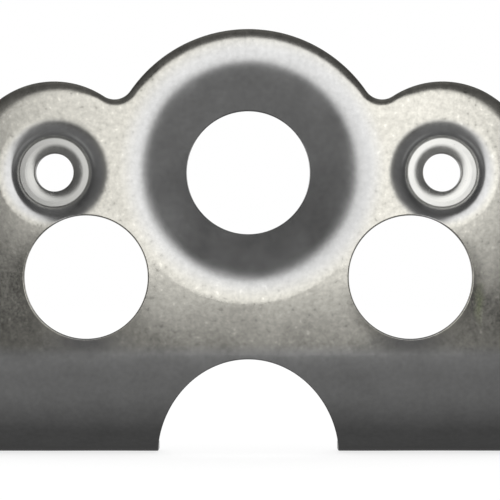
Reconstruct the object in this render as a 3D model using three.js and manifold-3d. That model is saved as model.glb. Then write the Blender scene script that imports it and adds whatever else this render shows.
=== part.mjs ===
// Stamped mounting plate with two pressed-in screw bushings.
//
// A rectangle of sheet metal with a three-lobed top edge. Its face is drawn back into a wide dish round
// the centre hole and into a dimple at each upper corner, and each dimple holds a flanged bushing.
// The bottom edge is rolled back through 90 degrees into two feet, parted by a half-oval notch.
//
// Millimetres, +Z up, +X to the right, front face towards -Y. The origin is midway between the two
// bushing axes, on the plane that the bushings' rear ends share: the wall that the plate is screwed to.

import * as THREE from 'three';
import { mergeVertices } from 'three/addons/utils/BufferGeometryUtils.js';
import Module from 'manifold-3d';

const wasm = await Module();
wasm.setup();

// ---------------------------------------------------------------- driving dimensions

const SHEET = 1.5;              // sheet thickness
const GAP = 0.3;                // left between pieces that touch

const HEIGHT_BELOW = 46;        // bushing axes above the lowest point of the rolled edge
const BUSHING_SPREAD = 63;      // between the two bushing axes
const CENTRE_LOBE_R = 23.25;
const SIDE_LOBE_R = 14.75;
const VALLEY_R = 3.1;           // fillet between two lobes
const EDGE_ROLL = 1.4;          // how far the die rolled the front edge of the outline inwards
const EDGE_DROP = 0.65;         // and how far back

const HOLE_R = 10;              // centre hole and both lower holes
const LOWER_HOLE_X = 26.3;
const LOWER_HOLE_DROP = 17;     // lower holes below the bushing axes
const NOTCH_HALF_WIDTH = 14.9;  // half-oval notch, seen from the front
const NOTCH_REACH_UP = 17;
const NOTCH_SINK = 1.35;        // its centre below the lowest line of the rolled edge

const BEND_R = 16.5;            // outside radius of the rolled edge
const LIP_LENGTH = 6;           // flat of the feet behind the bend
const LIP_CORNER_R = 3;

const DISH_R = 20.5;            // where the dish leaves the flat face
const DISH_WALL_R = 14.8;       // where its rounded shoulder meets its cone
const DISH_ANGLE = 25;          // slope of the cone, in degrees

const DIMPLE_R = 8.5;           // where a dimple leaves the flat face
const DIMPLE_DEPTH = 2.6;       // its floor below the flat face
const DIMPLE_ANGLE = 58;        // slope of its wall, in degrees
const DIMPLE_SHOULDER_R = 1.7;  // rounding at its mouth
const DIMPLE_FOOT_R = 0.8;      // rounding at its floor

const BORE_R = 3.1;             // clearance for an M6 screw
const FLANGE_R = 5.65;          // bushing's front flange
const FLANGE_THICK = 1.2;
const LEAD_IN = 1;              // width of the countersunk mouth of the bore
const LEAD_IN_ANGLE = 20;       // its slope, in degrees
const SHANK_R = 4.3;            // through the dimple's floor
const COLLAR_R = 5.2;           // clinched over behind the floor
const COLLAR_THICK = 1;
const BUSHING_EDGE = 0.25;      // small chamfers on the bushing

const DISH_STEPS = 56;          // facets round the dish and the centre hole
const DIMPLE_STEPS = 36;        // facets round a dimple and a bushing
const HOLE_STEPS = 56;          // facets round a lower hole
const NOTCH_STEPS = 28;         // facets round the notch
const LOBE_STEPS = 18;          // facets along each arc of the outline
const BEND_STEPS = 12;          // facets round the rolled edge
const CORNER_STEPS = 6;         // facets round a foot's corner
const SHOULDER_STEPS = 5;       // facets across the shoulder of the dish
const FILLET_STEPS = 3;         // facets across the small fillets and rolled edges
const CUT_OVERLAP = 1;          // a cutter stands this far out of what it cuts
const JOIN_OVERLAP = 0.5;       // a drawn form overlaps the flat sheet this far

// ---------------------------------------------------------------- levels along Y, from the wall plane

const BUSHING_REAR = 0;
const FLOOR_REAR = BUSHING_REAR - COLLAR_THICK - GAP;
const FLOOR_FRONT = FLOOR_REAR - SHEET;
const FRONT = FLOOR_FRONT - DIMPLE_DEPTH;
const BACK = FRONT + SHEET;
const FLANGE_REAR = FLOOR_FRONT - GAP;
const FLANGE_FRONT = FLANGE_REAR - FLANGE_THICK;
const LIP_END = FRONT + BEND_R + LIP_LENGTH;

const BOTTOM = -HEIGHT_BELOW;
const BUSHING_X = BUSHING_SPREAD / 2;
const HALF_WIDTH = BUSHING_X + SIDE_LOBE_R;
const DISH_SLOPE = THREE.MathUtils.degToRad(DISH_ANGLE);
const DIMPLE_SLOPE = THREE.MathUtils.degToRad(DIMPLE_ANGLE);

// ---------------------------------------------------------------- solids

function solid(geometry) {
  geometry.deleteAttribute('normal');
  geometry.deleteAttribute('uv');
  const merged = mergeVertices(geometry, 1e-5);
  return new wasm.Manifold(new wasm.Mesh({
    numProp: 3,
    vertProperties: new Float32Array(merged.attributes.position.array),
    triVerts: new Uint32Array(merged.index.array),
  }));
}

function geometryOf(manifold) {
  const mesh = manifold.getMesh();
  const geometry = new THREE.BufferGeometry();
  geometry.setAttribute('position', new THREE.BufferAttribute(mesh.vertProperties, 3));
  geometry.setIndex(new THREE.BufferAttribute(mesh.triVerts, 1));
  geometry.computeVertexNormals();
  return geometry;
}

// A profile drawn as (y, z) becomes a prism along X, the same length on both sides of the middle.
function prismAlongX(shape, halfLength) {
  const geometry = new THREE.ExtrudeGeometry(shape, {
    depth: 2 * halfLength, bevelEnabled: false, curveSegments: BEND_STEPS,
  });
  geometry.translate(0, 0, -halfLength);
  const acrossAndUp = new THREE.Matrix4().makeBasis(
    new THREE.Vector3(0, 1, 0), new THREE.Vector3(0, 0, 1), new THREE.Vector3(1, 0, 0));
  geometry.applyMatrix4(acrossAndUp);
  return solid(geometry);
}

// A closed profile drawn as (radius, y) is turned about an axis along Y through (x, z).
function turned(profile, steps, x = 0, z = 0) {
  const geometry = new THREE.LatheGeometry([...profile, profile[0]], steps);
  geometry.translate(x, 0, z);
  return solid(geometry);
}

function drill(radius, from, to, steps, x = 0, z = 0) {
  const geometry = new THREE.CylinderGeometry(radius, radius, to - from, steps);
  geometry.translate(x, (from + to) / 2, z);
  return solid(geometry);
}

// ---------------------------------------------------------------- pressed plate

// Centre of the fillet that touches the centre lobe and a side lobe from outside.
function valleyCentre() {
  const toCentre = CENTRE_LOBE_R + VALLEY_R;
  const toSide = SIDE_LOBE_R + VALLEY_R;
  const x = (toCentre ** 2 - toSide ** 2 + BUSHING_X ** 2) / (2 * BUSHING_X);
  return new THREE.Vector2(x, Math.sqrt(toCentre ** 2 - x ** 2));
}

function outline() {
  const valley = valleyCentre();
  const centreAngle = Math.atan2(valley.y, valley.x);
  const sideAngle = Math.atan2(valley.y, valley.x - BUSHING_X);
  const below = BOTTOM - CUT_OVERLAP;
  const shape = new THREE.Shape();
  shape.moveTo(-HALF_WIDTH, below);
  shape.lineTo(HALF_WIDTH, below);
  shape.lineTo(HALF_WIDTH, 0);
  shape.absarc(BUSHING_X, 0, SIDE_LOBE_R, 0, sideAngle, false);
  shape.absarc(valley.x, valley.y, VALLEY_R, sideAngle - Math.PI, centreAngle - Math.PI, true);
  shape.absarc(0, 0, CENTRE_LOBE_R, centreAngle, Math.PI - centreAngle, false);
  shape.absarc(-valley.x, valley.y, VALLEY_R, -centreAngle, -sideAngle, true);
  shape.absarc(-BUSHING_X, 0, SIDE_LOBE_R, Math.PI - sideAngle, Math.PI, false);
  shape.closePath();
  return shape;
}

// Side view of the sheet: straight face, quarter-round bend and the flat of the feet.
function sheetProfile() {
  const top = CENTRE_LOBE_R + CUT_OVERLAP;
  const bendY = FRONT + BEND_R;
  const bendZ = BOTTOM + BEND_R;
  const shape = new THREE.Shape();
  shape.moveTo(BACK, top);
  shape.lineTo(FRONT, top);
  shape.lineTo(FRONT, bendZ);
  shape.absarc(bendY, bendZ, BEND_R, Math.PI, 1.5 * Math.PI, false);
  shape.lineTo(LIP_END, BOTTOM);
  shape.lineTo(LIP_END, BOTTOM + SHEET);
  shape.absarc(bendY, bendZ, BEND_R - SHEET, 1.5 * Math.PI, Math.PI, true);
  shape.closePath();
  return shape;
}

// Points of an arc in a (radius, y) profile. The slope is 0 where the surface is square to the axis.
function arcPoints(centreR, centreY, radius, slopeFrom, slopeTo, steps) {
  const points = [];
  for (let i = 0; i <= steps; i += 1) {
    const slope = slopeFrom + (slopeTo - slopeFrom) * i / steps;
    points.push(new THREE.Vector2(centreR - radius * Math.sin(slope), centreY - radius * Math.cos(slope)));
  }
  return points;
}

// The dish, one sheet thick: front surface from its inner edge outwards, then rear surface back inwards.
function dish() {
  const shoulderR = (DISH_R - DISH_WALL_R) / Math.sin(DISH_SLOPE);
  const shoulderCentre = FRONT + shoulderR;
  const front = arcPoints(DISH_R, shoulderCentre, shoulderR, DISH_SLOPE, 0, SHOULDER_STEPS);
  const rear = arcPoints(DISH_R, shoulderCentre, shoulderR - SHEET, 0, DISH_SLOPE, SHOULDER_STEPS);
  const innerR = HOLE_R - JOIN_OVERLAP;
  const coneFrom = (point) => new THREE.Vector2(
    innerR, point.y + (point.x - innerR) * Math.tan(DISH_SLOPE));
  return turned([
    coneFrom(front[0]),
    ...front,
    new THREE.Vector2(DISH_R + JOIN_OVERLAP, FRONT),
    new THREE.Vector2(DISH_R + JOIN_OVERLAP, BACK),
    ...rear,
    coneFrom(rear[rear.length - 1]),
  ], DISH_STEPS);
}

// A dimple, one sheet thick, with the hole that the bushing's shank passes through.
function dimple(x) {
  const bothRadii = DIMPLE_SHOULDER_R + DIMPLE_FOOT_R;
  const wallDrop = DIMPLE_DEPTH - bothRadii * (1 - Math.cos(DIMPLE_SLOPE));
  const wallRun = wallDrop / Math.tan(DIMPLE_SLOPE);
  const floorR = DIMPLE_R - bothRadii * Math.sin(DIMPLE_SLOPE) - wallRun;
  const shoulder = (offset, from, to) =>
    arcPoints(DIMPLE_R, FRONT + DIMPLE_SHOULDER_R, DIMPLE_SHOULDER_R - offset, from, to, FILLET_STEPS);
  const foot = (offset, from, to) =>
    arcPoints(floorR, FLOOR_FRONT - DIMPLE_FOOT_R, -DIMPLE_FOOT_R - offset, from, to, FILLET_STEPS);
  const holeR = SHANK_R + GAP;
  return turned([
    new THREE.Vector2(holeR, FLOOR_FRONT),
    ...foot(0, 0, DIMPLE_SLOPE),
    ...shoulder(0, DIMPLE_SLOPE, 0),
    new THREE.Vector2(DIMPLE_R + JOIN_OVERLAP, FRONT),
    new THREE.Vector2(DIMPLE_R + JOIN_OVERLAP, BACK),
    ...shoulder(SHEET, 0, DIMPLE_SLOPE),
    ...foot(SHEET, DIMPLE_SLOPE, 0),
    new THREE.Vector2(holeR, FLOOR_REAR),
  ], DIMPLE_STEPS, x);
}

// What lies inside the outline, as a prism along Y whose front edge is rolled in all round.
function blankingDie() {
  const rolledFrom = FRONT + EDGE_DROP;
  const end = LIP_END + CUT_OVERLAP;
  const geometry = new THREE.ExtrudeGeometry(outline(), {
    depth: end - rolledFrom,
    curveSegments: LOBE_STEPS,
    bevelThickness: EDGE_DROP,
    bevelSize: EDGE_ROLL,
    bevelOffset: -EDGE_ROLL,
    bevelSegments: FILLET_STEPS,
  });
  geometry.rotateX(Math.PI / 2);
  geometry.translate(0, end, 0);
  return solid(geometry);
}

// The notch, seen from the front: the upper half of an oval, open at the bottom.
function notchCutter() {
  const shape = new THREE.Shape();
  shape.absellipse(0, BOTTOM - NOTCH_SINK, NOTCH_HALF_WIDTH, NOTCH_REACH_UP, 0, Math.PI, false);
  shape.closePath();
  const length = LIP_END - FRONT + 2 * CUT_OVERLAP;
  const geometry = new THREE.ExtrudeGeometry(shape, {
    depth: length, bevelEnabled: false, curveSegments: NOTCH_STEPS,
  });
  geometry.rotateX(Math.PI / 2);
  geometry.translate(0, LIP_END + CUT_OVERLAP, 0);
  return solid(geometry);
}

// Seen from above, the feet have rounded rear corners.
function cornerTrim(side) {
  const cornerX = side * (HALF_WIDTH - LIP_CORNER_R);
  const cornerY = LIP_END - LIP_CORNER_R;
  const outX = side * (HALF_WIDTH + CUT_OVERLAP);
  const outY = LIP_END + CUT_OVERLAP;
  const shape = new THREE.Shape();
  shape.moveTo(side * HALF_WIDTH, cornerY);
  shape.lineTo(outX, cornerY);
  shape.lineTo(outX, outY);
  shape.lineTo(cornerX, outY);
  shape.lineTo(cornerX, LIP_END);
  const [start, end] = [Math.PI / 2, side > 0 ? 0 : Math.PI];
  shape.absarc(cornerX, cornerY, LIP_CORNER_R, start, end, side > 0);
  const geometry = new THREE.ExtrudeGeometry(shape, {
    depth: SHEET + 2 * CUT_OVERLAP, bevelEnabled: false, curveSegments: CORNER_STEPS,
  });
  geometry.translate(0, 0, BOTTOM - CUT_OVERLAP);
  return solid(geometry);
}

function pressedPlate() {
  const before = FRONT - CUT_OVERLAP;
  const behind = LIP_END + CUT_OVERLAP;
  let plate = prismAlongX(sheetProfile(), HALF_WIDTH + CUT_OVERLAP)
    .subtract(drill(DISH_R, before, FRONT + BEND_R, DISH_STEPS))
    .add(dish());
  for (const x of [-BUSHING_X, BUSHING_X]) {
    plate = plate.subtract(drill(DIMPLE_R, before, FRONT + BEND_R, DIMPLE_STEPS, x)).add(dimple(x));
  }
  plate = plate
    .intersect(blankingDie())
    .subtract(drill(HOLE_R, before, behind, DISH_STEPS))
    .subtract(notchCutter());
  for (const side of [-1, 1]) {
    plate = plate
      .subtract(drill(HOLE_R, before, behind, HOLE_STEPS, side * LOWER_HOLE_X, -LOWER_HOLE_DROP))
      .subtract(cornerTrim(side));
  }
  return plate;
}

// ---------------------------------------------------------------- bushing

// Front flange, shank through the dimple's floor and the collar clinched over behind it.
function bushing(x) {
  const leadInDepth = LEAD_IN * Math.tan(THREE.MathUtils.degToRad(LEAD_IN_ANGLE));
  return turned([
    new THREE.Vector2(BORE_R, FLANGE_FRONT + leadInDepth),
    new THREE.Vector2(BORE_R + LEAD_IN, FLANGE_FRONT),
    new THREE.Vector2(FLANGE_R - BUSHING_EDGE, FLANGE_FRONT),
    new THREE.Vector2(FLANGE_R, FLANGE_FRONT + BUSHING_EDGE),
    new THREE.Vector2(FLANGE_R, FLANGE_REAR),
    new THREE.Vector2(SHANK_R, FLANGE_REAR),
    new THREE.Vector2(SHANK_R, FLOOR_REAR + GAP),
    new THREE.Vector2(COLLAR_R, FLOOR_REAR + GAP),
    new THREE.Vector2(COLLAR_R, BUSHING_REAR - BUSHING_EDGE),
    new THREE.Vector2(COLLAR_R - BUSHING_EDGE, BUSHING_REAR),
    new THREE.Vector2(BORE_R + BUSHING_EDGE, BUSHING_REAR),
    new THREE.Vector2(BORE_R, BUSHING_REAR - BUSHING_EDGE),
  ], DIMPLE_STEPS, x);
}

// ---------------------------------------------------------------- the assembly

function part(name, manifold, material) {
  const mesh = new THREE.Mesh(geometryOf(manifold), material);
  mesh.name = name;
  return mesh;
}

const tumbledSteel = new THREE.MeshStandardMaterial({ color: 0xb9b8b2, roughness: 0.4, metalness: 1 });
const turnedSteel = new THREE.MeshStandardMaterial({ color: 0xcfcdc6, roughness: 0.25, metalness: 1 });

const mountingPlate = new THREE.Group();
mountingPlate.add(
  part('pressed_plate', pressedPlate(), tumbledSteel),
  part('left_bushing', bushing(-BUSHING_X), turnedSteel),
  part('right_bushing', bushing(BUSHING_X), turnedSteel.clone()),
);

export default mountingPlate;
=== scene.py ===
"""Looks of a stamped mounting plate with two pressed-in screw bushings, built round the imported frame.

The plate is one sheet. It is described flat first, by x across it and s along it (s is z on the face and
runs on round the bend into the feet), and then drawn into its dish and dimples and bent.
"""

import math

import bpy
import numpy as np
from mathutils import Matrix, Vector
from mathutils.geometry import delaunay_2d_cdt
from mathutils.kdtree import KDTree


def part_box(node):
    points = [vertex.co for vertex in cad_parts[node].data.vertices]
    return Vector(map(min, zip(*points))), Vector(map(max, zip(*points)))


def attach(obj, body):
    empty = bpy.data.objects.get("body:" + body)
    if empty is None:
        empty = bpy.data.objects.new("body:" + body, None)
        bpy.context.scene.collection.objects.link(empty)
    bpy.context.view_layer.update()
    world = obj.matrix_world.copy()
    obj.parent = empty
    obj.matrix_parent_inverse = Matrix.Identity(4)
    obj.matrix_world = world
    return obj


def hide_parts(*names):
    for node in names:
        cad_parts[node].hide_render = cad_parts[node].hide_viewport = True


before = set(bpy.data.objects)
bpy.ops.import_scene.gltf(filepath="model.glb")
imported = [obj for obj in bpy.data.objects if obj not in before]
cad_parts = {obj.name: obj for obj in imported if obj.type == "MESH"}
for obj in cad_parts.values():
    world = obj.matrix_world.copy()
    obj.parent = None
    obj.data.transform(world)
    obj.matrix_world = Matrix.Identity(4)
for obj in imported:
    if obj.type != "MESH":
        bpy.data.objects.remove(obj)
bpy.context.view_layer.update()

# ---------------------------------------------------------------- sizes that the frame gives

MM = 0.001
plate_low, plate_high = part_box("pressed_plate")
bushing_low, bushing_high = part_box("right_bushing")

FRONT = plate_low.y
BOTTOM = plate_low.z
FEET_END = plate_high.y
HALF_WIDTH = plate_high.x
CENTRE_LOBE_R = plate_high.z
BUSHING_X = (bushing_low.x + bushing_high.x) / 2
SIDE_LOBE_R = HALF_WIDTH - BUSHING_X
FLANGE_R = (bushing_high.x - bushing_low.x) / 2
FLANGE_FRONT = bushing_low.y
BUSHING_REAR = bushing_high.y

# ---------------------------------------------------------------- sizes of the CAD source

SHEET = 1.5 * MM
VALLEY_R = 3.1 * MM
HOLE_R = 10 * MM
LOWER_HOLE_X = 26.3 * MM
LOWER_HOLE_Z = -17 * MM
NOTCH_HALF_WIDTH = 14.9 * MM
NOTCH_REACH_UP = 17 * MM
NOTCH_SINK = 1.35 * MM                # centre of the oval below the lowest line of the rolled edge
BEND_R = 16.5 * MM
FOOT_CORNER_R = 3 * MM
DIMPLE_DEPTH = 2.6 * MM
BORE_R = 3.1 * MM
LEAD_IN = 1 * MM
LEAD_IN_SLOPE = math.radians(20)
SHANK_R = 4.3 * MM
COLLAR_R = 5.2 * MM

BEND_Y = FRONT + BEND_R
BEND_Z = BOTTOM + BEND_R
FLOOR_FRONT = FRONT + DIMPLE_DEPTH
FLOOR_REAR = FLOOR_FRONT + SHEET
FEET_S = BEND_Z - BEND_R * math.pi / 2 - (FEET_END - BEND_Y)

# ---------------------------------------------------------------- finer shape of the sheet

# Slope of a drawn form against radius: (radius in mm, slope in degrees) from the middle outwards.
DISH_SLOPES = ((15.3, 22.5), (17.2, 17.5), (19.6, 8), (21, 0))
DIMPLE_SLOPES = ((5.66, 0), (5.67, 86), (5.75, 86), (5.8, 47), (7.15, 16), (9.3, 0))
DISH_Z = -0.5 * MM                    # the dish is drawn a little below its hole
PROFILE_STEPS = 600

# Where the stretched, smooth surface ends, and over what length it fades into the tumbled face.
DRAWN_DISH_R = 22.1 * MM
DRAWN_DISH_PLACE = (0.7 * MM, 1 * MM)  # it reaches furthest up and to the right
DRAWN_DISH_FADE = 3.5 * MM
DRAWN_DIMPLE_R = 9 * MM
DRAWN_DIMPLE_FADE = 1.6 * MM
DRAWN_BEND_Z = BEND_Z + 2 * MM
DRAWN_BEND_FADE = 2.5 * MM

NOTCH_CORNER_R = 1 * MM
EDGE_ROLL = (2.4 * MM, 0.8 * MM)      # width and depth of the rolled front edge of the outline
CENTRE_ROLL = 0.9                     # share of the roll's width that is left on the centre lobe
VALLEY_ROLL = 0.65                    # and between two lobes
VALLEY_REACH = 2 * MM
CUT_ROLL = (0.25 * MM, 0.25 * MM)     # of the notch and the feet, which are only deburred
HOLE_ROLL = (0.25 * MM, 0.3 * MM)
REAR_ROLL = (0.12 * MM, 0.12 * MM)
SHANK_CLEARANCE = 0.05 * MM
SEAT_GAP = 0.02 * MM                  # between pieces that touch

ARC_STEP = math.radians(1)
OVAL_STEP = math.radians(0.2)         # finer: near the feet a short drop is a long way round the bend
RIM_SPACING = 0.45 * MM
FACE_SPACING = 1.7 * MM
BEND_SPACING = 1.0 * MM
DISH_SPACING = 0.5 * MM
DIMPLE_SPACING = 0.25 * MM
ROLL_STEPS = 7
REAR_STEPS = 3
STRAIGHT_ROUNDS = 6                   # to find what lies in front of the rear edge of a straight hole
PROBE = 0.01 * MM                     # step over which the sheet's slope is measured
RIM_CLEARANCE = 0.6                   # share of a rim's spacing that inner points keep from it
RING_STRETCH = 1.4                    # points along a ring are this much further apart than rings
RINGS_START = 0.9                     # rings round the dish start at this share of its hole's radius
FLAT_TOLERANCE = 1e-9
LEAST_LEAN = 0.5                      # keeps a wall that is cut along Y from getting too long
TURNED_STEPS = 144
FILLET_STEPS = 6

# Roundings of a bushing's corners. The mouth of its bore is one long curve.
BORE_ROUNDING = 0.25 * MM
COLLAR_ROUNDING = 0.35 * MM
INNER_ROUNDING = 0.08 * MM
SHANK_ROUNDING = 0.05 * MM
FLANGE_ROUNDING = 0.12 * MM
MOUTH_ROUNDING = 4.4 * MM
THROAT_ROUNDING = 0.35 * MM

# Slight waves left by the press: (waves per metre along x and s, phase in radians)
WAVES = ((31, 17, 0.4), (-22, 43, 1.9), (57, -38, 3.1), (12, 71, 5.2))
WAVE_HEIGHT = 0.006 * MM

# The punch pulled the rims of the lower holes forward by this much, over this reach.
RIM_RISE = 0.07 * MM
RIM_REACH = 2.2 * MM


# ---------------------------------------------------------------- the sheet as a surface

def drop_profile(slopes, depth=None):
    """Radii, and how far the front surface lies behind the flat face at each. depth sets the deepest."""
    edges, angles = np.array(slopes, float).T
    radii = np.linspace(0, edges[-1] * MM, PROFILE_STEPS)
    rise = np.tan(np.radians(np.interp(radii, edges * MM, angles)))
    strips = (rise[1:] + rise[:-1]) / 2 * np.diff(radii)
    drop = np.append(np.cumsum(strips[::-1])[::-1], 0)
    if depth is not None:
        drop *= depth / drop[0]
    return radii, drop


DISH = drop_profile(DISH_SLOPES)
DIMPLE = drop_profile(DIMPLE_SLOPES, DIMPLE_DEPTH)


def drawn_depth(x, s):
    depth = np.interp(np.hypot(x, s - DISH_Z), *DISH)
    for side in (-1, 1):
        depth = depth + np.interp(np.hypot(x - side * BUSHING_X, s), *DIMPLE)
        from_rim = np.hypot(x - side * LOWER_HOLE_X, s - LOWER_HOLE_Z) - HOLE_R
        depth = depth - RIM_RISE * np.clip(1 - from_rim / RIM_REACH, 0, 1) ** 2
    depth = depth + RIM_RISE
    for along_x, along_s, phase in WAVES:
        depth = depth + WAVE_HEIGHT * (1 + np.sin(2 * math.pi * (along_x * x + along_s * s) + phase))
    return depth


def front_points(x, s):
    depth = drawn_depth(x, s)
    below = np.maximum(BEND_Z - s, 0)
    turn = np.minimum(below / BEND_R, math.pi / 2)
    y = BEND_Y - (BEND_R - depth) * np.cos(turn) + below - turn * BEND_R
    z = np.maximum(s, BEND_Z) - (BEND_R - depth) * np.sin(turn)
    return np.stack([x, y, z], axis=-1)


def unit(vectors):
    return vectors / np.linalg.norm(vectors, axis=-1, keepdims=True)


def front_normals(x, s):
    across = front_points(x + PROBE, s) - front_points(x - PROBE, s)
    along = front_points(x, s + PROBE) - front_points(x, s - PROBE)
    return unit(np.cross(across, along))


# ---------------------------------------------------------------- outlines in the flat, material on the left

def arc(centre, radius, start, end, step=ARC_STEP):
    count = max(4, int(abs(end - start) / step))
    angles = np.linspace(start, end, count)
    return np.stack([centre[0] + radius * np.cos(angles), centre[1] + radius * np.sin(angles)], axis=-1)


def evenly(points, spacing):
    """The closed line through points, as points an even distance apart."""
    closed = np.vstack([points, points[:1]])
    reach = np.append(0, np.cumsum(np.linalg.norm(np.diff(closed, axis=0), axis=1)))
    at = np.linspace(0, reach[-1], int(reach[-1] / spacing), endpoint=False)
    return np.stack([np.interp(at, reach, closed[:, 0]), np.interp(at, reach, closed[:, 1])], axis=-1)


def inward(points):
    ahead = np.roll(points, -1, axis=0) - np.roll(points, 1, axis=0)
    return unit(np.stack([-ahead[:, 1], ahead[:, 0]], axis=-1))


def valley_centre():
    """Centre of the fillet that touches the centre lobe and the right lobe from outside."""
    to_centre = CENTRE_LOBE_R + VALLEY_R
    to_side = SIDE_LOBE_R + VALLEY_R
    x = (to_centre ** 2 - to_side ** 2 + BUSHING_X ** 2) / (2 * BUSHING_X)
    return x, math.sqrt(to_centre ** 2 - x ** 2)


def top_edge():
    """The three lobes and the fillets between them, from right to left."""
    x, z = valley_centre()
    centre_angle = math.atan2(z, x)
    side_angle = math.atan2(z, x - BUSHING_X)
    half = [
        arc((BUSHING_X, 0), SIDE_LOBE_R, 0, side_angle),
        arc((x, z), VALLEY_R, side_angle - math.pi, centre_angle - math.pi),
        arc((0, 0), CENTRE_LOBE_R, centre_angle, math.pi / 2),
    ]
    right = np.vstack(half)
    left = right[::-1] * (-1, 1)
    return np.vstack([right, left[1:]])


def notch_edge():
    """The notch from right to left: the upper half of an oval seen from the front, straight in the feet."""
    start = math.asin(NOTCH_SINK / NOTCH_REACH_UP)
    oval = arc((0, 0), 1, start, math.pi - start, OVAL_STEP)
    x, z = (oval * (NOTCH_HALF_WIDTH, NOTCH_REACH_UP) + (0, BOTTOM - NOTCH_SINK)).T
    s = BEND_Z - BEND_R * np.arcsin(np.clip((BEND_Z - z) / BEND_R, -1, 1))
    corner = (x[0] + NOTCH_CORNER_R, FEET_S + NOTCH_CORNER_R)
    right = arc(corner, NOTCH_CORNER_R, 1.5 * math.pi, math.pi)
    left = right[::-1] * (-1, 1)
    return np.vstack([right, np.stack([x, s], axis=-1), left])


def outer_edge():
    corner_x = HALF_WIDTH - FOOT_CORNER_R
    corner_s = FEET_S + FOOT_CORNER_R
    return np.vstack([
        top_edge(),
        arc((-corner_x, corner_s), FOOT_CORNER_R, math.pi, 1.5 * math.pi),
        notch_edge()[::-1],
        arc((corner_x, corner_s), FOOT_CORNER_R, 1.5 * math.pi, 2 * math.pi),
    ])


def circle(x, s, radius):
    return arc((x, s), radius, 2 * math.pi, 0)[:-1]


# ---------------------------------------------------------------- meshes

class Build:
    """Gathers the vertices, normals and faces of one piece."""

    def __init__(self):
        self.points = []
        self.normals = []
        self.faces = []
        self.count = 0

    def add(self, points, normals):
        self.points.append(points)
        self.normals.append(normals)
        numbers = np.arange(self.count, self.count + len(points))
        self.count += len(points)
        return numbers

    def strip(self, row, next_row):
        """Quads between two closed rows of vertices."""
        for here, there, there_after, here_after in zip(
                row, next_row, np.roll(next_row, -1), np.roll(row, -1)):
            self.faces.append((here, there, there_after, here_after))

    def piece(self, name, values, material):
        """The mesh as a piece, with one float attribute for each of values."""
        points = np.vstack(self.points)
        mesh = bpy.data.meshes.new(name)
        mesh.from_pydata(points.tolist(), [], [[int(v) for v in face] for face in self.faces])
        mesh.polygons.foreach_set("use_smooth", [True] * len(mesh.polygons))
        mesh.normals_split_custom_set_from_vertices(np.vstack(self.normals).tolist())
        for key, value in values(points).items():
            attribute = mesh.attributes.new(key, "FLOAT", "POINT")
            attribute.data.foreach_set("value", value.astype(np.float32))
        mesh.materials.append(material)
        made = bpy.data.objects.new(name, mesh)
        bpy.context.scene.collection.objects.link(made)
        return made


def inside(points, loops):
    """True for the points that an odd number of loops surround."""
    odd = np.zeros(len(points), bool)
    for loop in loops:
        for (x0, s0), (x1, s1) in zip(loop, np.roll(loop, -1, axis=0)):
            if s0 == s1:
                continue
            crosses = (s0 > points[:, 1]) != (s1 > points[:, 1])
            reach = x0 + (points[:, 1] - s0) * (x1 - x0) / (s1 - s0)
            odd ^= crosses & (points[:, 0] < reach)
    return odd


def rings(x, s, from_r, to_r, spacing):
    found = []
    for number, radius in enumerate(np.arange(from_r, to_r, spacing)):
        count = int(2 * math.pi * radius / (RING_STRETCH * spacing))
        turn = 2 * math.pi * (np.arange(count) + 0.5 * (number % 2)) / count
        found.append(np.stack([x + radius * np.cos(turn), s + radius * np.sin(turn)], axis=-1))
    return np.vstack(found)


def grid(low_s, high_s, spacing):
    across, along = np.meshgrid(
        np.arange(-HALF_WIDTH, HALF_WIDTH, spacing), np.arange(low_s, high_s, spacing))
    return np.stack([across.ravel(), along.ravel()], axis=-1)


def face_points():
    """Points spread over the flat sheet, closest together where it is drawn."""
    dish_r = DRAWN_DISH_R + DRAWN_DISH_PLACE[1]
    dimple_r = DIMPLE_SLOPES[-1][0] * MM
    flat = grid(BEND_Z, CENTRE_LOBE_R, FACE_SPACING)
    clear = np.hypot(flat[:, 0], flat[:, 1]) > dish_r + DISH_SPACING
    for side in (-1, 1):
        clear &= np.hypot(flat[:, 0] - side * BUSHING_X, flat[:, 1]) > dimple_r + DIMPLE_SPACING
    found = [flat[clear], rings(0, 0, RINGS_START * HOLE_R, dish_r, DISH_SPACING)]
    for side in (-1, 1):
        found.append(rings(side * BUSHING_X, 0, SHANK_R, dimple_r, DIMPLE_SPACING))
    found.append(grid(FEET_S, BEND_Z - BEND_SPACING / 2, BEND_SPACING))
    return np.vstack(found)


def fill(build, loops, rows, behind):
    """Fills the region between loops with triangles. Its border uses the vertices in rows."""
    border = np.vstack(loops)
    tree = KDTree(len(border))
    for number, (x, s) in enumerate(border):
        tree.insert((x, s, 0), number)
    tree.balance()
    spread = face_points()
    clear = np.array([tree.find((x, s, 0))[2] > RIM_CLEARANCE * RIM_SPACING for x, s in spread])
    spread = spread[clear & inside(spread, loops)]
    normals = front_normals(spread[:, 0], spread[:, 1])
    points = front_points(spread[:, 0], spread[:, 1]) - normals * behind
    numbers = np.concatenate([*rows, build.add(points, normals if behind == 0 else -normals)])
    edges = []
    start = 0
    for loop in loops:
        edges += [(start + i, start + (i + 1) % len(loop)) for i in range(len(loop))]
        start += len(loop)
    flat = [Vector(p) for p in np.vstack([border, spread])]
    corners, _, triangles, origins, _, _ = delaunay_2d_cdt(flat, edges, [], 0, FLAT_TOLERANCE)
    middles = np.array([sum((corners[v] for v in t), Vector((0, 0))) / len(t) for t in triangles])
    for triangle, kept in zip(triangles, inside(middles, loops)):
        if kept:
            face = [numbers[origins[v][0]] for v in triangle]
            build.faces.append(face if behind == 0 else face[::-1])


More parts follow.
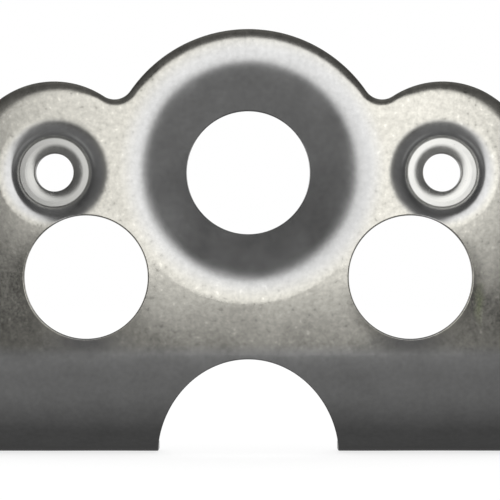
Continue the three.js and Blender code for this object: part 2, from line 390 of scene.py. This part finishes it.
def rim(build, loop, roll):
    """Rolled front edge, cut wall and rear edge along one loop. roll has a width and depth for each point.

    The face is cut straight along Y, the bend and the feet square to the sheet.

    Returns the loops in the flat where the front and the rear surface begin, with their vertices.
    """
    into = inward(loop)
    width, depth = roll.T[..., None]
    front_loop = loop + into * width
    x, s = front_loop.T
    normal = front_normals(x, s)
    start = front_points(x, s)
    outward = front_points(*(front_loop - into * PROBE).T) - start
    outward = unit(outward - normal * (outward * normal).sum(axis=1, keepdims=True))
    on_face = (s > BEND_Z)[:, None]
    lean = np.maximum(-normal[:, 1:2], LEAST_LEAN)
    wall = SHEET * np.where(on_face, np.array([[0, 1, 0]]) / lean, -normal)
    down = unit(wall)
    corner = start + outward * width
    sideways = np.cross(normal, outward)

    rows = []
    for turn in np.linspace(0, math.pi / 2, ROLL_STEPS):
        points = corner - outward * width * (1 - math.sin(turn)) + down * depth * (1 - math.cos(turn))
        tangent = outward * width * math.cos(turn) + down * depth * math.sin(turn)
        rows.append(build.add(points, unit(np.cross(tangent, sideways))))
    rear_width, rear_depth = REAR_ROLL
    for turn in np.linspace(0, math.pi / 2, REAR_STEPS):
        points = (corner + wall - down * rear_depth * (1 - math.sin(turn))
                  - outward * rear_width * (1 - math.cos(turn)))
        tangent = down * rear_depth * math.cos(turn) - outward * rear_width * math.sin(turn)
        rows.append(build.add(points, unit(np.cross(tangent, sideways))))
    for row, next_row in zip(rows, rows[1:]):
        build.strip(row, next_row)
    target = loop + into * rear_width
    rear_loop = target
    for _ in range(STRAIGHT_ROUNDS):
        straight = target + SHEET * front_normals(*rear_loop.T)[:, ::2]
        rear_loop = np.where(on_face, straight, target)
    return (front_loop, rows[0]), (rear_loop, rows[-1])


def outline_roll(loop):
    """The outline is rolled, less on the centre lobe and in the valleys, and only deburred at the bottom."""
    x, s = loop.T
    valley_x, valley_z = valley_centre()
    from_valley = np.hypot(np.abs(x) - valley_x, s - valley_z) - VALLEY_R
    on_lobe = np.where(np.abs(x) < valley_x, CENTRE_ROLL, 1)
    width = VALLEY_ROLL + (on_lobe - VALLEY_ROLL) * np.clip(from_valley / VALLEY_REACH, 0, 1)
    width = width[:, None]
    on_notch = (np.abs(x) < NOTCH_HALF_WIDTH + NOTCH_CORNER_R) & (s < BEND_Z)
    share = np.clip((s - FEET_S - FOOT_CORNER_R) / BEND_R, 0, 1)
    share = np.where(on_notch, 0, share)[:, None]
    edge = np.hstack([EDGE_ROLL[0] * width, EDGE_ROLL[1] * (1 + width) / 2])
    return np.array([CUT_ROLL]) * (1 - share) + edge * share


def plate_values(points):
    """drawn is 1 where the press stretched the surface smooth."""
    x, y, z = points.T
    from_middle = np.hypot(x - DRAWN_DISH_PLACE[0], z - DRAWN_DISH_PLACE[1])
    drawn = np.maximum((DRAWN_DISH_R - from_middle) / DRAWN_DISH_FADE, (DRAWN_BEND_Z - z) / DRAWN_BEND_FADE)
    for side in (-1, 1):
        from_bushing = np.hypot(x - side * BUSHING_X, z)
        drawn = np.maximum(drawn, (DRAWN_DIMPLE_R - from_bushing) / DRAWN_DIMPLE_FADE)
    drawn = np.clip(drawn, 0, 1)
    return {"drawn": drawn * drawn * (3 - 2 * drawn)}


def pressed_plate(material):
    build = Build()
    loops = []

    def cut(points, roll):
        loop = evenly(points, RIM_SPACING)
        sizes = roll(loop) if callable(roll) else np.tile(roll, (len(loop), 1))
        loops.append(rim(build, loop, sizes))

    cut(outer_edge(), outline_roll)
    cut(circle(0, 0, HOLE_R), HOLE_ROLL)
    for side in (-1, 1):
        cut(circle(side * LOWER_HOLE_X, LOWER_HOLE_Z, HOLE_R), HOLE_ROLL)
        cut(circle(side * BUSHING_X, 0, SHANK_R + SHANK_CLEARANCE), REAR_ROLL)
    for surface, behind in ((0, 0), (1, SHEET)):
        fill(build, [pair[surface][0] for pair in loops], [pair[surface][1] for pair in loops], behind)
    return build.piece("pressed_plate_sheet", plate_values, material)


def rounded(corners):
    """A closed profile as points and outward normals. Corners are x, y and rounding, and run clockwise."""
    corners, radii = np.split(np.array(corners, float), [2], axis=1)
    points = []
    normals = []
    for before, corner, after, radius in zip(
            np.roll(corners, 1, axis=0), corners, np.roll(corners, -1, axis=0), radii.ravel()):
        arriving = unit(corner - before)
        leaving = unit(after - corner)
        turn = math.atan2(arriving[0] * leaving[1] - arriving[1] * leaving[0], arriving @ leaving)
        reach = radius * math.tan(abs(turn) / 2)
        left = np.array([-arriving[1], arriving[0]])
        centre = corner - arriving * reach + left * radius * math.copysign(1, turn)
        for share in np.linspace(0, 1, FILLET_STEPS + 1):
            angle = turn * share
            out = left * math.cos(angle) - arriving * math.sin(angle)
            points.append(centre - out * radius * math.copysign(1, turn))
            normals.append(out)
    return np.array(points), np.array(normals)


def bushing(name, x, material):
    """A flanged bushing, clinched behind the dimple's floor, turned about an axis along Y."""
    flange_rear = FLOOR_FRONT - SEAT_GAP
    collar_front = FLOOR_REAR + SEAT_GAP
    cone_end = FLANGE_FRONT + LEAD_IN * math.tan(LEAD_IN_SLOPE)
    profile, across = rounded((
        (BORE_R, BUSHING_REAR, BORE_ROUNDING),
        (COLLAR_R, BUSHING_REAR, COLLAR_ROUNDING),
        (COLLAR_R, collar_front, INNER_ROUNDING),
        (SHANK_R, collar_front, SHANK_ROUNDING),
        (SHANK_R, flange_rear, SHANK_ROUNDING),
        (FLANGE_R, flange_rear, INNER_ROUNDING),
        (FLANGE_R, FLANGE_FRONT, FLANGE_ROUNDING),
        (BORE_R + LEAD_IN, FLANGE_FRONT, MOUTH_ROUNDING),
        (BORE_R, cone_end, THROAT_ROUNDING),
    ))
    build = Build()
    rows = []
    turns = np.linspace(0, -2 * math.pi, TURNED_STEPS, endpoint=False)
    for (radius, y), (out_r, out_y) in zip(profile, across):
        around = np.stack([np.cos(turns), np.zeros(TURNED_STEPS), np.sin(turns)], axis=-1)
        rows.append(build.add(around * radius + (x, y, 0), around * out_r + (0, out_y, 0)))
    for row, next_row in zip(rows, rows[1:] + rows[:1]):
        build.strip(row, next_row)
    return build.piece(
        name, lambda points: {"radius": np.hypot(points[:, 0] - x, points[:, 2]) / MM}, material)


# ---------------------------------------------------------------- materials

class Nodes:
    """Adds nodes to a tree in one call each. An input given as a socket is linked."""

    def __init__(self, tree):
        self.tree = tree
        tree.nodes.clear()

    def add(self, kind, inputs=(), **settings):
        node = self.tree.nodes.new("ShaderNode" + kind)
        for key, value in settings.items():
            setattr(node, key, value)
        for key, value in dict(inputs).items():
            if isinstance(value, bpy.types.NodeSocket):
                self.tree.links.new(value, node.inputs[key])
            else:
                node.inputs[key].default_value = value
        return node

    def math(self, operation, first, second=0.0, third=0.0):
        return self.add("Math", {0: first, 1: second, 2: third}, operation=operation).outputs[0]

    def product(self, first, *others):
        for value in others:
            first = self.math("MULTIPLY", first, value)
        return first

    def vary(self, base, noise, amount):
        """base, moved up and down by noise, which has its middle at 0.5."""
        return self.math("MULTIPLY_ADD", self.math("SUBTRACT", noise, 0.5), amount, base)

    def noise(self, vector, scale, detail=2.0, roughness=0.5):
        """Noise with features about 1 / scale millimetres across."""
        return self.add("TexNoise", {
            "Vector": vector, "Scale": scale, "Detail": detail, "Roughness": roughness,
        }).outputs["Fac"]

    def spread(self, value, low, high, to_low=0.0, to_high=1.0):
        return self.add("MapRange", {
            "Value": value, "From Min": low, "From Max": high, "To Min": to_low, "To Max": to_high,
        }).outputs["Result"]

    def mixed(self, share, first, second, blend="MIX"):
        inputs = {0: share, 6: first, 7: second}
        return self.add("Mix", inputs, data_type="RGBA", blend_type=blend).outputs[2]

    def grey(self, value):
        return self.add("CombineColor", {"Red": value, "Green": value, "Blue": value}).outputs[0]

    def in_mm(self):
        """Object coordinates in millimetres."""
        place = self.add("TexCoord").outputs["Object"]
        return self.add("VectorMath", {0: place, "Scale": 1 / MM}, operation="SCALE").outputs[0]

    def metal(self, colour, roughness, relief, bump_strength, bump_height):
        """The surface of a material: bare metal with a fine relief."""
        bump = self.add("Bump", {"Strength": bump_strength, "Distance": bump_height, "Height": relief})
        shader = self.add("BsdfPrincipled", {
            "Base Color": colour, "Metallic": 1.0, "Roughness": roughness, "Normal": bump.outputs[0],
        })
        self.add("OutputMaterial", {"Surface": shader.outputs[0]})


def new_material(name):
    material = bpy.data.materials.new(name)
    material.use_nodes = True
    return material, Nodes(material.node_tree)


# The two steels.
TUMBLED_COLOUR = (0.75, 0.73, 0.66, 1)
DRAWN_COLOUR = (0.72, 0.72, 0.715, 1)
SPECK_SHADE = 0.16
SHEET_ROUGHNESS = 0.2
DRAWN_ROUGHER = 0.02
TURNED_ROUGHNESS = 0.24
LEFT_TONE = 0.68                   # the left bushing's steel is given a darker tone than the right one's
RIGHT_TONE = 0.86

# Marks on the face: place and half size in mm, colour, and how much of it covers the steel.
THROUGH = 100                      # half size along Y, so that a mark covers the sheet at any depth
# Painted shade: a darker strip just under each lower hole, where the face turns into the bend.
SHADE_UNDER_HOLE_Z = -27.6
SHADE_UNDER_HOLE_SIZE = (8.5, THROUGH, 2.7)
SHADE_UNDER_HOLE_COLOUR = (0.42, 0.42, 0.425, 1)
SHADE_UNDER_HOLE_SHARE = 0.8
STAIN_PLACE = (37.4, 0, -21.3)
STAIN_SIZE = (1.1, THROUGH, 4.2)
STAIN_COLOUR = (0.80, 0.88, 0.56, 1)
STAIN_SHARE = 0.6
PIT_PLACE = (38.9, 0, -20.6)
PIT_SIZE = (0.75, THROUGH, 0.75)
PIT_COLOUR = (0.18, 0.18, 0.17, 1)
PIT_SHARE = 0.45
MARK_CORE = 0.2                    # share of its half size in which a mark is at its strongest
WANDER = 1.2                       # how far in mm the marks' outlines wander


def tumbled_steel():
    """Stainless sheet: tumbled and mottled on the flat, stretched smooth where it was drawn or bent."""
    material, n = new_material("tumbled_steel_sheet")
    place = n.in_mm()
    drawn = n.add("Attribute", attribute_name="drawn").outputs["Fac"]
    flat = n.math("SUBTRACT", 1.0, drawn)

    mottle = n.noise(place, 1.1, 2.0, 0.55)
    clouds = n.noise(place, 0.16, 4.0, 0.6)
    grain = n.noise(place, 2.6, 1.0, 0.5)
    spots = n.noise(place, 1.1, 1.0, 0.5)
    bright_specks = n.spread(spots, 0.70, 0.76)
    dark_specks = n.spread(spots, 0.30, 0.25)

    shade = n.vary(n.vary(1.0, mottle, 0.62), clouds, 0.35)
    shade = n.math("MULTIPLY_ADD", bright_specks, SPECK_SHADE, shade)
    shade = n.math("MULTIPLY_ADD", dark_specks, -SPECK_SHADE, shade)
    smooth_shade = n.vary(n.vary(1.0, clouds, 0.3), mottle, 0.25)
    shade = n.add("Mix", {0: drawn, 2: shade, 3: smooth_shade}, data_type="FLOAT").outputs[0]

    colour = n.mixed(drawn, TUMBLED_COLOUR, DRAWN_COLOUR)
    colour = n.mixed(1.0, colour, n.grey(shade), "MULTIPLY")
    # painted shade under the lower holes, then a real stain and pit
    colour = stains_and_painted_shade(n, place, colour)

    roughness = n.vary(SHEET_ROUGHNESS, grain, n.math("MULTIPLY", flat, 0.14))
    roughness = n.math("MULTIPLY_ADD", drawn, DRAWN_ROUGHER, roughness)
    roughness = n.vary(roughness, clouds, 0.12)
    relief = n.math("MULTIPLY", n.math("ADD", mottle, n.math("MULTIPLY", grain, 0.4)), flat)
    n.metal(colour, roughness, relief, 0.35, 0.012 * MM)
    return material


def stains_and_painted_shade(n, place, colour):
    """Painted shade: a darker strip under each lower hole. Also a faint green water stain and a dark pit
    beside the right one.
    """
    wander = n.add("VectorMath", {
        0: n.add("TexNoise", {"Vector": place, "Scale": 0.7, "Detail": 2.0}).outputs["Color"],
        "Scale": WANDER,
    }, operation="SCALE").outputs[0]
    moved = n.add("VectorMath", {0: place, 1: wander}, operation="ADD").outputs[0]

    def marked(under, centre, size, share, paint):
        wandered = tuple(c + WANDER / 2 for c in centre)
        offset = n.add("VectorMath", {0: moved, 1: wandered}, operation="SUBTRACT")
        scaled = n.add("VectorMath", {0: offset.outputs[0], 1: size}, operation="DIVIDE")
        length = n.add("VectorMath", {0: scaled.outputs[0]}, operation="LENGTH").outputs["Value"]
        return n.mixed(n.math("MULTIPLY", n.spread(length, 1.0, MARK_CORE), share), under, paint)

    # painted shade: a darker strip under each lower hole
    for side in (-1, 1):
        shade_under_hole_place = (side * LOWER_HOLE_X / MM, 0, SHADE_UNDER_HOLE_Z)
        colour = marked(colour, shade_under_hole_place, SHADE_UNDER_HOLE_SIZE, SHADE_UNDER_HOLE_SHARE, SHADE_UNDER_HOLE_COLOUR)
    colour = marked(colour, STAIN_PLACE, STAIN_SIZE, STAIN_SHARE, STAIN_COLOUR)
    return marked(colour, PIT_PLACE, PIT_SIZE, PIT_SHARE, PIT_COLOUR)


def turned_steel(name, tone):
    """Turned stainless with fine concentric tool marks. A darker one has a low tone."""
    material, n = new_material(name)
    place = n.in_mm()
    radius = n.add("Attribute", attribute_name="radius").outputs["Fac"]
    marks = n.add("TexNoise", {
        "W": radius, "Scale": 9.0, "Detail": 2.0,
    }, noise_dimensions="1D").outputs["Fac"]
    clouds = n.noise(place, 0.7, 3.0, 0.6)
    shade = n.vary(n.vary(1.0, marks, 0.18), clouds, 0.25)
    colour = n.mixed(1.0, (tone, 0.995 * tone, 0.955 * tone, 1), n.grey(shade), "MULTIPLY")
    roughness = n.vary(TURNED_ROUGHNESS, clouds, 0.2)
    n.metal(colour, roughness, marks, 0.3, 0.01 * MM)
    return material


# ---------------------------------------------------------------- camera, floor and light

CAMERA_DISTANCE = 0.67
VIEW_WIDTH = 81 * MM               # seen across the picture, at the plate's front face
VIEW_CENTRE = (0.28 * MM, -12.6 * MM)
SENSOR = 36

SOFTBOX_DISTANCE = 0.1
LIT_CENTRE = (2.0 * MM, 12.1 * MM)  # middle of the softbox's reflection in the flat face
LIT_HALF = (49 * MM, 38.9 * MM)
SOFTBOX_EDGE = 0.14                # share of its half width over which it fades out
SOFTBOX_STRENGTH = (0.9, 1.33)     # on the left and on the right
SOFTBOX_SQUARENESS = 3             # 2 would make it an oval
FLOOR_HALF = 1.5
FLOOR_GLOW = 1.05                  # with the light that it scatters, just over white
SHADOW_SHARE = 0.25                # how much of the floor's brightness a shadow can take away


def camera():
    data = bpy.data.cameras.new("camera")
    data.sensor_width = SENSOR
    data.lens = SENSOR * CAMERA_DISTANCE / VIEW_WIDTH
    made = bpy.data.objects.new("camera", data)
    bpy.context.scene.collection.objects.link(made)
    made.location = (VIEW_CENTRE[0], FRONT - CAMERA_DISTANCE, VIEW_CENTRE[1])
    made.rotation_euler = (math.pi / 2, 0, 0)
    bpy.context.scene.camera = made


def card(name, half_x, half_y, material):
    mesh = bpy.data.meshes.new(name)
    mesh.from_pydata(
        [(-half_x, -half_y, 0), (half_x, -half_y, 0), (half_x, half_y, 0), (-half_x, half_y, 0)],
        [], [(0, 1, 2, 3)])
    mesh.materials.append(material)
    made = bpy.data.objects.new(name, mesh)
    bpy.context.scene.collection.objects.link(made)
    return made


def floor():
    material, n = new_material("pale_floor")
    tint = n.noise(n.in_mm(), 0.02, 2.0)
    tone = n.mixed(tint, (0.95, 0.95, 0.95, 1), (0.97, 0.97, 0.97, 1))
    lit = n.add("BsdfDiffuse", {"Color": tone})
    own = n.add("Emission", {"Color": (1, 1, 1, 1), "Strength": FLOOR_GLOW})
    both = n.add("MixShader", {0: SHADOW_SHARE, 1: own.outputs[0], 2: lit.outputs[0]})
    n.add("OutputMaterial", {"Surface": both.outputs[0]})
    made = card("floor", FLOOR_HALF, FLOOR_HALF, material)
    made.location = (0, 0, BOTTOM - SEAT_GAP)
    made.visible_glossy = False


def softbox():
    """A soft light close in front of the plate, brighter to the right. The camera looks through it."""
    material, n = new_material("softbox_cloth")
    widening = 1 + SOFTBOX_DISTANCE / CAMERA_DISTANCE
    half_x, half_z = (widening * half for half in LIT_HALF)
    place = n.add("SeparateXYZ", {0: n.add("TexCoord").outputs["Object"]})
    across = n.math("DIVIDE", place.outputs["X"], half_x)
    up = n.math("DIVIDE", place.outputs["Y"], half_z)
    powers = [n.math("POWER", n.math("ABSOLUTE", share), SOFTBOX_SQUARENESS) for share in (across, up)]
    from_middle = n.math("POWER", n.math("ADD", *powers), 1 / SOFTBOX_SQUARENESS)
    lit = n.spread(from_middle, 1.0, 1.0 - 2 * SOFTBOX_EDGE)
    strength = n.math("MULTIPLY", lit, n.spread(across, -1.0, 1.0, *SOFTBOX_STRENGTH))
    lamp = n.add("Emission", {"Color": (1, 1, 1, 1), "Strength": strength})
    n.add("OutputMaterial", {"Surface": lamp.outputs[0]})
    made = card("softbox", half_x, half_z, material)
    centre = [seen + (seen - eye) * (widening - 1) for seen, eye in zip(LIT_CENTRE, VIEW_CENTRE)]
    made.location = (centre[0], FRONT - SOFTBOX_DISTANCE, centre[1])
    made.rotation_euler = (math.pi / 2, 0, 0)
    made.visible_camera = False
    made.visible_shadow = False
    made.visible_diffuse = False


def studio():
    """White to the camera and for soft light. Polished metal mirrors a dim room with paler parts in it."""
    world = bpy.data.worlds.new("studio")
    bpy.context.scene.world = world
    world.use_nodes = True
    n = Nodes(world.node_tree)
    rays = n.add("LightPath")
    strength = n.add("Mix", {
        0: rays.outputs["Is Glossy Ray"], 2: 1.0, 3: mirrored_room(n),
    }, data_type="FLOAT").outputs[0]
    background = n.add("Background", {"Color": (1, 1, 1, 1), "Strength": strength})
    n.add("OutputWorld", {"Surface": background.outputs[0]})
    bpy.context.scene.view_settings.view_transform = "Standard"


def mirrored_room(n):
    """Brightness of the room by direction. back is 1 straight behind the plate, height is 1 straight up."""
    way = n.add("SeparateXYZ", {0: n.add("TexCoord").outputs["Generated"]})
    back = way.outputs["Y"]
    height = way.outputs["Z"]
    sideways = n.math("ABSOLUTE", way.outputs["X"])
    room = n.product(n.spread(back, -0.95, 0.2, 0.160, 0.06), n.spread(height, -0.8, 0.6, 1.2, 0.45))
    front = n.spread(back, -0.9, -1.0, 0.0, 0.042)
    ceiling = n.spread(height, 0.7, 0.95, 0.0, 0.06)
    rear_wall = n.product(n.spread(back, 0.0, 0.8), n.spread(height, 0.0, 0.5), 0.09)
    side_walls = n.product(
        n.spread(n.math("ABSOLUTE", height), 0.5, 0.3), n.spread(back, 0.2, 0.5),
        n.spread(sideways, 0.2, 0.6, 0.03, 1.0), 0.55)
    behind = n.product(
        n.spread(back, 0.6, 0.9), n.spread(height, -0.3, -0.1), n.spread(height, 0.5, 0.3), 0.25)
    front_corners = n.product(
        n.spread(sideways, 0.25, 0.5), n.spread(height, -0.05, -0.3),
        n.spread(back, -0.66, -0.58), n.spread(back, -0.3, -0.45), 0.12)
    for pale in (front, ceiling, rear_wall, side_walls, behind, front_corners):
        room = n.math("ADD", room, pale)
    return room


# ---------------------------------------------------------------- the scene

camera()
floor()
softbox()
studio()

sheet = pressed_plate(tumbled_steel())
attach(sheet, "root")
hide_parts("pressed_plate")

for node, side, tone in (("left_bushing", -1, LEFT_TONE), ("right_bushing", 1, RIGHT_TONE)):
    turned = bushing(node + "_turned", side * BUSHING_X, turned_steel(node + "_steel", tone))
    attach(turned, "root")
    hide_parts(node)
